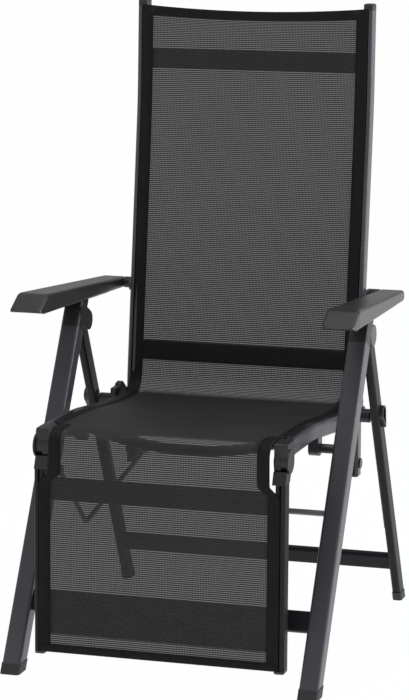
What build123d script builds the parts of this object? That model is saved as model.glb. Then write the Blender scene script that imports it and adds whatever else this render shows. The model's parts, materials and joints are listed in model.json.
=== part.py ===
from build123d import *
import math
import os

# Reclining garden armchair, in millimetres. +Z is up and the chair faces -Y.
# The origin is on the floor in the middle of the chair. Left is -X, as seen from the front.
# A place in the side view is a pair (y, z).

# Overall
OVERALL_WIDTH = 600.0
OVERALL_HEIGHT = 1093.0
FOOT_REACH = 336.5

# Fits
RUNNING_GAP = 0.05
FACE_GAP = 0.3
OVERRUN = 2.0

# Front legs
FRONT_LEG_INSET = 41.0
FRONT_LEG_WIDTH = 33.0
FRONT_LEG_DEPTH = 33.0
FRONT_LEG_CORNER = 5.0
FRONT_LEG_TOP_DROP = 9.0

# Rear legs
REAR_LEG_INSET = 38.0
REAR_LEG_WIDTH = 15.0
REAR_LEG_DEPTH = 32.0
REAR_LEG_CORNER = 5.0
KNUCKLE_RADIUS = 19.0
KNUCKLE_NECK = 34.0
LEG_WALL = 1.5

# Feet
FOOT_SKIRT = 1.2
FOOT_FLOOR = 3.0
FOOT_HEIGHT = 16.0

# Apex pivot behind the front leg's middle line, and the seat axle on that line
APEX_Y = 45.272
APEX_SETBACK = 40.484
APEX_HEIGHT = 541.0
SEAT_AXLE_DROP = 171.0
APEX_PIN_RADIUS = 5.0
APEX_DISC_THICKNESS = 4.5
APEX_EAR_RADIUS = 17.0
APEX_EAR_THICKNESS = 11.0
SEAT_AXLE_RADIUS = 8.0
SEAT_LUG_RADIUS = 13.0

# Cross members between the legs
FRONT_BAR_SETBACK = 60.0
FRONT_BAR_TALL = 36.0
FRONT_BAR_THICK = 18.0
REAR_BAR_HEIGHT = 80.0
REAR_BAR_TALL = 34.0
REAR_BAR_THICK = 15.0
BAR_CORNER = 6.0
STRETCHER_DROP = 98.0
STRETCHER_RADIUS = 5.0

# Sling tubes, used for the seat, the backrest and the footrest
TUBE_INSET = 92.0
TUBE_WIDTH = 18.0
TUBE_DEPTH = 28.0
TUBE_CORNER = 5.0
TUBE_WALL = 1.8
SLOT_WIDTH = 3.0
PLUG_LENGTH = 12.0
PLUG_HEAD = 4.0
PLUG_EDGE = 1.5

# Seat side rails; a rise is a height over the seat axle
RAIL_FRONT_Y = -262.0
RAIL_FRONT_RISE = 37.0
RAIL_KNEE_Y = -125.0
RAIL_KNEE_RISE = 34.0
RAIL_DIP_Y = 40.0
RAIL_DIP_RISE = 13.5
RAIL_REAR_Y = 154.0
RAIL_REAR_RISE = 6.7
RAIL_BEND = 600.0
BOW_Y = -147.0
BOW_SAG = 37.0
BOW_RADIUS = 9.0
BOW_DROP = 5.0

# Backrest; a rise is a height over the seat axle, a drop a depth below the top
RECLINE_Y = 184.0
RECLINE_RISE = 6.0
BACK_FOOT_RISE = -108.0
BACK_KNEE_RISE = 15.0
BACK_LEAN_DEGREES = 7.77
BACK_SHOULDER_DROP = 180.0
BACK_TOP_LEAN_DEGREES = 2.96
BACK_BEND = 800.0
TOP_CAP_LENGTH = 12.0
TOP_CAP_EDGE = 4.0
UPPER_BAR_DROP = 106.0
UPPER_BAR_TALL = 30.0
LUMBAR_BAR_RISE = 94.0
LUMBAR_BAR_TALL = 30.0
SLING_BAR_THICK = 14.0

# Hinge plates between the seat and the backrest
FOLD_Y = 150.0
FOLD_RISE = 30.0
PLATE_GAP = 0.5
PLATE_THICKNESS = 4.0
PLATE_RADIUS = 12.0
HINGE_PIN_RADIUS = 5.0
PIN_HEAD_RADIUS = 9.0
PIN_HEAD = 3.0

# Slide brackets that carry the seat on the rear legs
BRACKET_FRONT_Y = 99.0
BRACKET_REAR_Y = 132.0
BRACKET_TOP_RISE = 36.0
SLIDE_BOSS_RADIUS = 12.0
SLIDE_TIP_RADIUS = 6.0
GUIDE_THICKNESS = 2.2
GUIDE_WIDTH = 14.0
GUIDE_MARGIN = 15.0
FOLD_LIMIT_DEGREES = 46.0
CLIP_RADIUS = 13.0
CLIP_WALL = 3.5
CLIP_THICKNESS = 7.0
CLIP_TAIL = 28.0
CLIP_LIFT = 9.0

# Footrest and its hinge
FOOT_HINGE_Y = -294.0
FOOT_HINGE_RISE = 21.0
FOOT_HINGE_RADIUS = 15.0
FOOT_HINGE_NECK = 11.0
FOOT_HINGE_DISC = 20.0
FOOT_HINGE_DISC_THICKNESS = 3.0
FOOT_HINGE_PIN_RADIUS = 5.0
HINGE_BLOCK_WIDTH = 23.0
HINGE_CAP_FRONT_Y = -305.0
HINGE_CAP_TOP_RISE = 51.0
HINGE_CAP_LOW_RISE = 24.0
FOOTREST_TOP_Y = -304.0
FOOTREST_TOP_RISE = -15.0
FOOTREST_FOOT_Y = -311.0
FOOTREST_FOOT_Z = 42.0
FOOTREST_BEND = 400.0
FOOTREST_UPPER_BAR_RISE = -47.0
FOOTREST_UPPER_BAR_TALL = 30.0
FOOTREST_LOWER_BAR_Z = 111.0
FOOTREST_LOWER_BAR_TALL = 40.0

# Sling
SLING_THICKNESS = 1.2
NECK_WIDTH = 1.6
BEAD_RADIUS = 2.5
BACK_SLING_TOP_DROP = 10.0
BACK_SLING_LOW_RISE = 42.0
LUMBAR_CURVE = 13.0
SEAT_SLING_FRONT = -248.0
SEAT_SLING_REAR = 146.0
FOOT_SLING_TOP_RISE = -20.0
FOOT_SLING_LOW = 44.0
APRON_INSET = 10.0
APRON_RADIUS = 15.0
APRON_REACH_Y = -292.0

# Sync link, on the left only
LINK_FRONT_Y = -282.4
LINK_FRONT_RISE = -22.5
LINK_ELBOW_Y = -150.0
LINK_ELBOW_RISE = -145.0
LINK_REAR_Y = 185.0
LINK_REAR_RISE = -89.0
LINK_ROD_RADIUS = 4.2
LINK_BEND = 14.0
LINK_EYE_RADIUS = 9.0
LINK_EYE_THICKNESS = 9.0
LINK_STUD_RADIUS = 3.5
LUG_THICKNESS = 5.0
LUG_RADIUS = 8.0

# Armrests; a rise is a height over the apex pivot
ARM_TOP_FRONT_Y = -162.0
ARM_TOP_FRONT_RISE = 81.0
ARM_NOSE_Y = -208.0
ARM_NOSE_RISE = 56.0
ARM_LIP_Y = -177.0
ARM_LIP_RISE = 49.0
ARM_HINGE_Y = 234.0
ARM_HINGE_RISE = 38.0
ARM_END_RADIUS = 10.0
ARM_INNER_FRONT_INSET = 56.0
ARM_INNER_REAR_INSET = 61.0
ARM_OUTER_REAR_INSET = 18.0
ARM_WALL = 3.0
ARM_CORNER = 12.0
ARM_EDGE = 5.0
ARM_TOP_ROUND = 30.0
ARM_BOSS_LENGTH = 30.0
ARM_PIN_RADIUS = 6.0
ARM_PIN_REACH = 24.0
ARM_SPIGOT_RADIUS = 5.0
SLIDE_PLATE_FRONT_Y = -70.0
SLIDE_PLATE_REAR_Y = 150.0


def unit(degrees):
    """Direction of a member that leans back by an angle from upright."""
    turn = math.radians(degrees)
    return (math.sin(turn), math.cos(turn))


def move(point, direction, distance):
    return (point[0] + direction[0] * distance, point[1] + direction[1] * distance)


def between(points, y):
    """Height of a polyline at a given y."""
    for (y0, z0), (y1, z1) in zip(points, points[1:]):
        if y <= y1:
            return z0 + (z1 - z0) * (y - y0) / (y1 - y0)
    return points[-1][1]


def leg_lean(reach, height, half):
    """Lean in degrees of a leg whose foot ends on a mark, from the mark to a place on its middle line."""
    run = math.hypot(reach, height)
    return math.degrees(math.acos(half / run) - math.atan2(height, reach))


# Places that follow from the sizes
FRONT_LEG_X = OVERALL_WIDTH / 2 - FRONT_LEG_INSET
REAR_LEG_X = OVERALL_WIDTH / 2 - REAR_LEG_INSET
TUBE_X = OVERALL_WIDTH / 2 - TUBE_INSET
ARM_INNER_FRONT_X = OVERALL_WIDTH / 2 - ARM_INNER_FRONT_INSET
ARM_INNER_REAR_X = OVERALL_WIDTH / 2 - ARM_INNER_REAR_INSET
ARM_OUTER_REAR_X = OVERALL_WIDTH / 2 - ARM_OUTER_REAR_INSET
FRONT_LEG_TOP = APEX_HEIGHT - FRONT_LEG_TOP_DROP
SEAT_AXLE_HEIGHT = APEX_HEIGHT - SEAT_AXLE_DROP
STRETCHER_HEIGHT = SEAT_AXLE_HEIGHT - STRETCHER_DROP
RAIL_FRONT_Z = SEAT_AXLE_HEIGHT + RAIL_FRONT_RISE
RAIL_KNEE_Z = SEAT_AXLE_HEIGHT + RAIL_KNEE_RISE
RAIL_DIP_Z = SEAT_AXLE_HEIGHT + RAIL_DIP_RISE
RAIL_REAR_Z = SEAT_AXLE_HEIGHT + RAIL_REAR_RISE
RECLINE_Z = SEAT_AXLE_HEIGHT + RECLINE_RISE
BACK_FOOT_Z = SEAT_AXLE_HEIGHT + BACK_FOOT_RISE
BACK_KNEE_Z = SEAT_AXLE_HEIGHT + BACK_KNEE_RISE
LUMBAR_BAR_Z = SEAT_AXLE_HEIGHT + LUMBAR_BAR_RISE
FOLD_Z = SEAT_AXLE_HEIGHT + FOLD_RISE
BRACKET_TOP_Z = SEAT_AXLE_HEIGHT + BRACKET_TOP_RISE
FOOT_HINGE_Z = SEAT_AXLE_HEIGHT + FOOT_HINGE_RISE
HINGE_CAP_TOP_Z = SEAT_AXLE_HEIGHT + HINGE_CAP_TOP_RISE
HINGE_CAP_LOW_Z = SEAT_AXLE_HEIGHT + HINGE_CAP_LOW_RISE
FOOTREST_TOP_Z = SEAT_AXLE_HEIGHT + FOOTREST_TOP_RISE
FOOTREST_UPPER_BAR_Z = SEAT_AXLE_HEIGHT + FOOTREST_UPPER_BAR_RISE
LINK_FRONT_Z = SEAT_AXLE_HEIGHT + LINK_FRONT_RISE
LINK_ELBOW_Z = SEAT_AXLE_HEIGHT + LINK_ELBOW_RISE
LINK_REAR_Z = SEAT_AXLE_HEIGHT + LINK_REAR_RISE
BACK_SLING_LOW = SEAT_AXLE_HEIGHT + BACK_SLING_LOW_RISE
FOOT_SLING_TOP = SEAT_AXLE_HEIGHT + FOOT_SLING_TOP_RISE
BRACKET_LOW_Z = SEAT_AXLE_HEIGHT
BACK_SHOULDER_Z = OVERALL_HEIGHT - BACK_SHOULDER_DROP
UPPER_BAR_Z = OVERALL_HEIGHT - UPPER_BAR_DROP
BACK_SLING_TOP = OVERALL_HEIGHT - BACK_SLING_TOP_DROP
ARM_TOP_FRONT_Z = APEX_HEIGHT + ARM_TOP_FRONT_RISE
ARM_NOSE_Z = APEX_HEIGHT + ARM_NOSE_RISE
ARM_LIP_Z = APEX_HEIGHT + ARM_LIP_RISE
ARM_HINGE_Z = APEX_HEIGHT + ARM_HINGE_RISE
FRONT_HALF = FRONT_LEG_DEPTH / 2 + FOOT_SKIRT
REAR_HALF = REAR_LEG_DEPTH / 2 + FOOT_SKIRT
FRONT_LEAN_DEGREES = leg_lean(FOOT_REACH + APEX_Y - APEX_SETBACK, APEX_HEIGHT, FRONT_HALF)
REAR_LEAN_DEGREES = leg_lean(FOOT_REACH - APEX_Y, APEX_HEIGHT, REAR_HALF)
FRONT_DIR = unit(FRONT_LEAN_DEGREES)
REAR_DIR = unit(-REAR_LEAN_DEGREES)
REAR_DOWN = (-REAR_DIR[0], -REAR_DIR[1])
FRONT_FOOT = (-FOOT_REACH + FRONT_HALF / FRONT_DIR[1], 0.0)
REAR_FOOT = (FOOT_REACH - REAR_HALF / REAR_DIR[1], 0.0)
APEX = (APEX_Y, APEX_HEIGHT)
SEAT_AXLE = move(FRONT_FOOT, FRONT_DIR, SEAT_AXLE_HEIGHT / FRONT_DIR[1])
TO_AXLE = (SEAT_AXLE[0] - APEX[0], SEAT_AXLE[1] - APEX[1])
SLIDE_START = 2 * (TO_AXLE[0] * REAR_DOWN[0] + TO_AXLE[1] * REAR_DOWN[1])
SLIDE = move(APEX, REAR_DOWN, SLIDE_START)
AXLE_REACH = math.hypot(*TO_AXLE)
START_ANGLE = math.degrees(math.acos(SLIDE_START / 2 / AXLE_REACH))
SLIDE_END = 2 * AXLE_REACH * math.cos(math.radians(START_ANGLE - FOLD_LIMIT_DEGREES))
RECLINE = (RECLINE_Y, RECLINE_Z)
FOLD = (FOLD_Y, FOLD_Z)
FOOT_HINGE = (FOOT_HINGE_Y, FOOT_HINGE_Z)
LINK_FRONT = (LINK_FRONT_Y, LINK_FRONT_Z)
LINK_ELBOW = (LINK_ELBOW_Y, LINK_ELBOW_Z)
LINK_REAR = (LINK_REAR_Y, LINK_REAR_Z)
ARM_HINGE = (ARM_HINGE_Y, ARM_HINGE_Z)
FRONT_LEG_INNER = FRONT_LEG_X - FRONT_LEG_WIDTH / 2
REAR_LEG_INNER = REAR_LEG_X - REAR_LEG_WIDTH / 2
REAR_LEG_OUTER = REAR_LEG_X + REAR_LEG_WIDTH / 2
TUBE_INNER = TUBE_X - TUBE_WIDTH / 2
TUBE_OUTER = TUBE_X + TUBE_WIDTH / 2
APRON_HALF_WIDTH = TUBE_INNER - APRON_INSET
CLIP_SIZE = 2 * OVERALL_HEIGHT

BACK_DIR = unit(BACK_LEAN_DEGREES)
BACK_TOP_DIR = unit(BACK_TOP_LEAN_DEGREES)
BACK_KNEE = (RECLINE_Y, BACK_KNEE_Z)
BACK_SHOULDER = move(BACK_KNEE, BACK_DIR, (BACK_SHOULDER_Z - BACK_KNEE_Z) / BACK_DIR[1])
BACK_TOP_Z = OVERALL_HEIGHT - TOP_CAP_LENGTH * BACK_TOP_DIR[1] - TUBE_DEPTH / 2 * BACK_TOP_DIR[0]
BACK_END = move(BACK_SHOULDER, BACK_TOP_DIR, (BACK_TOP_Z - BACK_SHOULDER_Z) / BACK_TOP_DIR[1])
BACK_ROUTE = [(RECLINE_Y, BACK_FOOT_Z), BACK_KNEE, BACK_SHOULDER, BACK_END]
RAIL_ROUTE = [
    (RAIL_FRONT_Y, RAIL_FRONT_Z),
    (RAIL_KNEE_Y, RAIL_KNEE_Z),
    (RAIL_DIP_Y, RAIL_DIP_Z),
    (RAIL_REAR_Y, RAIL_REAR_Z),
]
FOOTREST_ROUTE = [(FOOTREST_FOOT_Y, FOOTREST_FOOT_Z), (FOOTREST_TOP_Y, FOOTREST_TOP_Z)]


def spot(x, point):
    return (x, point[0], point[1])


def disc(point, radius, low, high):
    """Round piece along X from low to high."""
    return Pos((low + high) / 2, point[0], point[1]) * Rot(0, 90, 0) * Cylinder(radius, high - low)


def slab(points, low, high):
    """Side view outline with straight edges, made solid from low to high along X."""
    outline = Polyline(*[spot(low, point) for point in points], close=True)
    return extrude(make_face(outline), amount=high - low, dir=(1, 0, 0))


def strap(first, second, first_radius, second_radius, low, high):
    """Plate round two centres."""
    run = math.hypot(second[0] - first[0], second[1] - first[1])
    along = ((second[0] - first[0]) / run, (second[1] - first[1]) / run)
    across = (-along[1], along[0])
    corners = [
        move(first, across, first_radius),
        move(second, across, second_radius),
        move(second, across, -second_radius),
        move(first, across, -first_radius),
    ]
    plate = slab(corners, low, high)
    return plate + disc(first, first_radius, low, high) + disc(second, second_radius, low, high)


def layer(low, high):
    """Everything between two heights."""
    return Pos(0, 0, (low + high) / 2) * Box(CLIP_SIZE, CLIP_SIZE, high - low)


def span(low, high):
    """Everything between two places along the depth."""
    return Pos(0, (low + high) / 2, 0) * Box(CLIP_SIZE, high - low, CLIP_SIZE)


def beam(section, x, foot, direction, start, end):
    """Straight member from start to end along its direction."""
    base = move(foot, direction, start)
    plane = Plane(origin=spot(x, base), x_dir=(1, 0, 0), z_dir=(0, direction[0], direction[1]))
    return extrude(plane * section, amount=end - start)


def hollow(width, depth, corner, wall):
    outer = RectangleRounded(width, depth, corner)
    return outer - RectangleRounded(width - 2 * wall, depth - 2 * wall, corner - wall)


def cross_bar(point, half, thick, tall, lean):
    """Hollow bar along X, its tall side leaning with its member."""
    outer = RectangleRounded(thick, tall, BAR_CORNER)
    inner = RectangleRounded(thick - 2 * LEG_WALL, tall - 2 * LEG_WALL, BAR_CORNER - LEG_WALL)
    section = Pos(point[0], point[1]) * Rot(0, 0, -lean) * (outer - inner)
    return extrude(Plane.YZ.offset(-half) * section, amount=2 * half)


def route_path(x, route, bend):
    points = [spot(x, point) for point in route]
    if len(points) == 2:
        return Polyline(*points)
    return FilletPolyline(*points, radius=bend)


def swept(section, x, route, bend):
    """Section carried along a route, its first axis kept along X."""
    path = route_path(x, route, bend)
    plane = Plane(origin=path @ 0, x_dir=(1, 0, 0), z_dir=path % 0)
    return sweep(plane * section, path=path)


def tube_section():
    """Hollow tube with a groove in the face that the sling leaves by."""
    shell = hollow(TUBE_WIDTH, TUBE_DEPTH, TUBE_CORNER, TUBE_WALL)
    groove = Rectangle(SLOT_WIDTH, 2 * (TUBE_WALL + OVERRUN))
    return shell - Pos(0, -TUBE_DEPTH / 2) * groove


def sling_section():
    """Sheet with a cord at each edge, and a neck through each groove."""
    face = TUBE_DEPTH / 2
    sheet_top = face + FACE_GAP + SLING_THICKNESS
    bead_centre = face - TUBE_WALL - FACE_GAP - BEAD_RADIUS
    sheet_width = 2 * TUBE_X + NECK_WIDTH
    sheet = Pos(0, -(face + FACE_GAP + SLING_THICKNESS / 2)) * Rectangle(sheet_width, SLING_THICKNESS)
    for side in (-1, 1):
        neck = Rectangle(NECK_WIDTH, sheet_top - bead_centre)
        sheet += Pos(side * TUBE_X, -(sheet_top + bead_centre) / 2) * neck
        sheet += Pos(side * TUBE_X, -bead_centre) * Circle(BEAD_RADIUS)
    return sheet


def tube_plug(end, direction, x, length, edge):
    """Plastic end: a head as large as the tube, and a tongue in the half of the bore behind the groove."""
    inside_width = TUBE_WIDTH - 2 * TUBE_WALL - 2 * FACE_GAP
    inside_depth = TUBE_DEPTH / 2 - TUBE_WALL - FACE_GAP - BEAD_RADIUS
    head = beam(RectangleRounded(TUBE_WIDTH, TUBE_DEPTH, TUBE_CORNER), x, end, direction, 0, length)
    plane = Plane(origin=spot(x, end), x_dir=(1, 0, 0), z_dir=(0, -direction[0], -direction[1]))
    front = -1 if direction[1] > 0 else 1
    tongue_y = front * (inside_depth / 2 + BEAD_RADIUS / 2)
    tongue = Pos(0, tongue_y) * Rectangle(inside_width - TUBE_CORNER, inside_depth)
    far_edges = head.edges().group_by(Axis((0, 0, 0), (0, direction[0], direction[1])))[-1]
    return fillet(far_edges, edge) + extrude(plane * tongue, amount=PLUG_LENGTH)


def both(shape):
    return {"left": mirror(shape, about=Plane.YZ), "right": shape}


def write(name, shape):
    export_step(shape, f"parts/{name}.step")


def write_pair(name, shape):
    for side, copy in both(shape).items():
        write(f"{name}_{side}", copy)


def write_group(name, shape):
    """Identical pieces on both sides, kept as separate solids in one node."""
    write(name, Compound(children=list(both(shape).values())))


def arm_underside(y):
    slope = (ARM_HINGE_Z - ARM_END_RADIUS - ARM_LIP_Z) / (ARM_HINGE_Y - ARM_LIP_Y)
    return ARM_LIP_Z + slope * (y - ARM_LIP_Y)


def front_frame():
    section = hollow(FRONT_LEG_WIDTH, FRONT_LEG_DEPTH, FRONT_LEG_CORNER, LEG_WALL)
    solid = RectangleRounded(FRONT_LEG_WIDTH, FRONT_LEG_DEPTH, FRONT_LEG_CORNER)
    top = FRONT_LEG_TOP / FRONT_DIR[1]
    low = -FRONT_LEG_DEPTH
    leg = beam(section, FRONT_LEG_X, FRONT_FOOT, FRONT_DIR, low, top)
    write_pair("front_leg", leg & layer(FOOT_FLOOR, CLIP_SIZE))
    write_pair("front_foot_cap", foot_cap(FRONT_LEG_X, FRONT_FOOT, FRONT_DIR, FRONT_LEG_WIDTH,
                                          FRONT_LEG_DEPTH, FRONT_LEG_CORNER))

    # The cross bar stays behind the footrest
    bar_y = FOOTREST_FOOT_Y + FRONT_BAR_SETBACK
    bar = move(FRONT_FOOT, FRONT_DIR, (bar_y - FRONT_FOOT[0]) / FRONT_DIR[0])
    write("front_cross_bar", cross_bar(bar, FRONT_LEG_INNER, FRONT_BAR_THICK, FRONT_BAR_TALL,
                                       FRONT_LEAN_DEGREES))
    rod = move(FRONT_FOOT, FRONT_DIR, STRETCHER_HEIGHT / FRONT_DIR[1])
    write("stretcher_rod", disc(rod, STRETCHER_RADIUS, -FRONT_LEG_INNER, FRONT_LEG_INNER))

    # The leg's plastic top stops just under the armrest, and its ear holds the apex pivot
    far = ARM_TOP_FRONT_Z / FRONT_DIR[1]
    head = beam(solid, FRONT_LEG_X, FRONT_FOOT, FRONT_DIR, top, far)
    roof_low = ARM_NOSE_Y
    roof_high = ARM_HINGE_Y
    roof = [
        (roof_low, arm_underside(roof_low) - FACE_GAP),
        (roof_high, arm_underside(roof_high) - FACE_GAP),
        (roof_high, CLIP_SIZE),
        (roof_low, CLIP_SIZE),
    ]
    ear_high = FRONT_LEG_INNER + APEX_EAR_THICKNESS
    root = move(FRONT_FOOT, FRONT_DIR, (APEX_HEIGHT + APEX_EAR_RADIUS) / FRONT_DIR[1])
    ear = strap(root, APEX, APEX_EAR_RADIUS, APEX_EAR_RADIUS, FRONT_LEG_INNER, ear_high)
    ear -= beam(solid, FRONT_LEG_X, FRONT_FOOT, FRONT_DIR, low, top)
    clear = disc(APEX, KNUCKLE_RADIUS + FACE_GAP * 2, ear_high, CLIP_SIZE)
    bore = disc(APEX, APEX_PIN_RADIUS + RUNNING_GAP, 0, CLIP_SIZE)
    roof_cut = slab(roof, FRONT_LEG_INNER - OVERRUN, OVERALL_WIDTH)
    write_pair("leg_top_fitting", (head - clear) + ear - bore - roof_cut)
    disc_low = REAR_LEG_OUTER + FACE_GAP
    pin = disc(APEX, APEX_PIN_RADIUS, FRONT_LEG_INNER, disc_low)
    write_group("apex_pins", pin + disc(APEX, KNUCKLE_RADIUS, disc_low, disc_low + APEX_DISC_THICKNESS))
    write_group("seat_axle_pins", disc(SEAT_AXLE, SEAT_AXLE_RADIUS, TUBE_INNER, FRONT_LEG_INNER))


def foot_cap(x, foot, direction, width, depth, corner):
    """Cup that the leg stands in, cut flat on the floor."""
    def grown(extra):
        section = RectangleRounded(width + 2 * extra, depth + 2 * extra, corner + extra)
        return beam(section, x, foot, direction, -depth, depth * 2)

    cup = grown(FOOT_SKIRT) & layer(0, FOOT_HEIGHT)
    return cup - (grown(RUNNING_GAP) & layer(FOOT_FLOOR, CLIP_SIZE))


def rear_frame():
    section = hollow(REAR_LEG_WIDTH, REAR_LEG_DEPTH, REAR_LEG_CORNER, LEG_WALL)
    solid = RectangleRounded(REAR_LEG_WIDTH, REAR_LEG_DEPTH, REAR_LEG_CORNER)
    length = APEX_HEIGHT / REAR_DIR[1]
    leg = beam(section, REAR_LEG_X, REAR_FOOT, REAR_DIR, -REAR_LEG_DEPTH, length - KNUCKLE_NECK)
    write_pair("rear_leg", leg & layer(FOOT_FLOOR, CLIP_SIZE))
    write_group("rear_foot_caps", foot_cap(REAR_LEG_X, REAR_FOOT, REAR_DIR, REAR_LEG_WIDTH,
                                           REAR_LEG_DEPTH, REAR_LEG_CORNER))
    neck = beam(solid, REAR_LEG_X, REAR_FOOT, REAR_DIR, length - KNUCKLE_NECK, length)
    knuckle = neck + disc(APEX, KNUCKLE_RADIUS, REAR_LEG_INNER, REAR_LEG_OUTER)
    bore = disc(APEX, APEX_PIN_RADIUS + RUNNING_GAP, 0, CLIP_SIZE)
    write_pair("rear_leg_knuckle", knuckle - bore)

    bar = move(REAR_FOOT, REAR_DIR, REAR_BAR_HEIGHT / REAR_DIR[1])
    write("rear_cross_bar", cross_bar(bar, REAR_LEG_INNER, REAR_BAR_THICK, REAR_BAR_TALL,
                                      -REAR_LEAN_DEGREES))

    # Strip on the leg's inner face that the seat's slide pin runs along
    strip = Rectangle(GUIDE_THICKNESS, GUIDE_WIDTH)
    strip_x = REAR_LEG_INNER - GUIDE_THICKNESS / 2
    strip_low = SLIDE_START - GUIDE_MARGIN
    write_group("guide_strips", beam(strip, strip_x, APEX, REAR_DOWN, strip_low, SLIDE_END + GUIDE_MARGIN))

    # Open clip on the leg's outer face
    centre = move(APEX, REAR_DOWN, SLIDE_START - CLIP_LIFT)
    tip = move(centre, REAR_DOWN, CLIP_TAIL)
    high = REAR_LEG_OUTER + CLIP_THICKNESS
    clip = strap(centre, tip, CLIP_RADIUS, CLIP_WALL, REAR_LEG_OUTER, high)
    inner_tip = move(centre, REAR_DOWN, CLIP_TAIL - 2 * CLIP_WALL)
    hole = strap(centre, inner_tip, CLIP_RADIUS - CLIP_WALL, CLIP_WALL / 2, REAR_LEG_OUTER, high)
    write_group("leg_clips", clip - hole)


def hinge_block_low():
    return TUBE_OUTER - HINGE_BLOCK_WIDTH


def seat_frame():
    rail = swept(tube_section(), TUBE_X, RAIL_ROUTE, RAIL_BEND)
    envelope = swept(RectangleRounded(TUBE_WIDTH, TUBE_DEPTH, TUBE_CORNER), TUBE_X, RAIL_ROUTE, RAIL_BEND)
    write_pair("seat_rail", rail & span(RAIL_FRONT_Y, CLIP_SIZE))
    rear_dir = Vector(0, RAIL_REAR_Y - RAIL_DIP_Y, RAIL_REAR_Z - RAIL_DIP_Z).normalized()
    plug_dir = (rear_dir.Y, rear_dir.Z)
    write_group("seat_rail_plugs", seat_plug((RAIL_REAR_Y, RAIL_REAR_Z), plug_dir))

    # Bowed bar that keeps the rails apart below the sitter
    end_z = between(RAIL_ROUTE, BOW_Y) - BOW_DROP
    reach = TUBE_INNER + BOW_RADIUS * 2
    bow_radius = (TUBE_INNER ** 2 + BOW_SAG ** 2) / (2 * BOW_SAG)
    lift = bow_radius - math.sqrt(bow_radius ** 2 - reach ** 2) - BOW_SAG
    bow_path = ThreePointArc(
        (-reach, BOW_Y, end_z + lift), (0, BOW_Y, end_z - BOW_SAG), (reach, BOW_Y, end_z + lift)
    )
    bow_plane = Plane(origin=bow_path @ 0, z_dir=bow_path % 0)
    bow_section = Circle(BOW_RADIUS) - Circle(BOW_RADIUS - LEG_WALL)
    bow = sweep(bow_plane * bow_section, path=bow_path)
    write("seat_bowed_bar", bow & Box(2 * TUBE_INNER, CLIP_SIZE, CLIP_SIZE))

    # Lug under each rail, with the bore for the seat axle
    lug_top = (SEAT_AXLE[0], between(RAIL_ROUTE, SEAT_AXLE[0]))
    lug = strap(SEAT_AXLE, lug_top, SEAT_LUG_RADIUS, SEAT_LUG_RADIUS, TUBE_INNER, TUBE_OUTER)
    lug -= Pos(0, 0, -FACE_GAP) * envelope
    lug -= layer(lug_top[1], CLIP_SIZE)
    write_pair("seat_axle_lug", lug - disc(SEAT_AXLE, SEAT_AXLE_RADIUS + RUNNING_GAP, 0, CLIP_SIZE))

    # Front cap of each rail, with the outer half of the footrest hinge
    low = hinge_block_low()
    middle = (low + TUBE_OUTER) / 2
    cap = slab([
        (HINGE_CAP_FRONT_Y, HINGE_CAP_LOW_Z),
        (RAIL_FRONT_Y, HINGE_CAP_LOW_Z),
        (RAIL_FRONT_Y, HINGE_CAP_TOP_Z),
        (HINGE_CAP_FRONT_Y, HINGE_CAP_TOP_Z),
    ], low, TUBE_OUTER)
    cap = fillet(cap.edges().filter_by(Axis.X).group_by(Axis.Y)[0].group_by(Axis.Z)[-1], TUBE_CORNER)
    cap = cap - disc(FOOT_HINGE, FOOT_HINGE_RADIUS + FACE_GAP, low - OVERRUN, middle + FACE_GAP)
    cap += disc(FOOT_HINGE, FOOT_HINGE_RADIUS, middle + FACE_GAP, TUBE_OUTER)
    cap += disc(FOOT_HINGE, FOOT_HINGE_DISC, TUBE_OUTER, TUBE_OUTER + FOOT_HINGE_DISC_THICKNESS)
    bore = disc(FOOT_HINGE, FOOT_HINGE_PIN_RADIUS + RUNNING_GAP, 0, TUBE_OUTER)
    write_pair("seat_front_cap", cap - bore)

    # Bracket from the rail to the rear leg, with the slide pin and the ear for the fold pivot
    flange_low = TUBE_OUTER + 2 * PLATE_GAP + PLATE_THICKNESS
    flange_high = flange_low + PLATE_THICKNESS
    tip = REAR_LEG_INNER - GUIDE_THICKNESS - FACE_GAP
    body = slab([
        (BRACKET_FRONT_Y, BRACKET_LOW_Z),
        (BRACKET_REAR_Y, BRACKET_LOW_Z),
        (BRACKET_REAR_Y, BRACKET_TOP_Z),
        (BRACKET_FRONT_Y + PLATE_RADIUS, BRACKET_TOP_Z),
    ], TUBE_OUTER, flange_high)
    root = ((BRACKET_FRONT_Y + BRACKET_REAR_Y) / 2, BRACKET_LOW_Z + PLATE_RADIUS)
    body += strap(root, FOLD, PLATE_RADIUS, PLATE_RADIUS / 2, flange_low, flange_high)
    body += strap(SLIDE, FOLD, PLATE_RADIUS, PLATE_RADIUS, flange_low, flange_high)
    body += disc(SLIDE, SLIDE_BOSS_RADIUS, flange_low, tip - GUIDE_THICKNESS)
    body += disc(SLIDE, SLIDE_TIP_RADIUS, tip - GUIDE_THICKNESS * 2, tip)
    body -= disc(FOLD, HINGE_PIN_RADIUS + RUNNING_GAP, 0, CLIP_SIZE)
    write_pair("slide_bracket", body)
    pin = disc(FOLD, HINGE_PIN_RADIUS, TUBE_OUTER + FACE_GAP, flange_high)
    write_group("fold_pins", pin + disc(FOLD, PIN_HEAD_RADIUS, flange_high, flange_high + PIN_HEAD))

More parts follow.
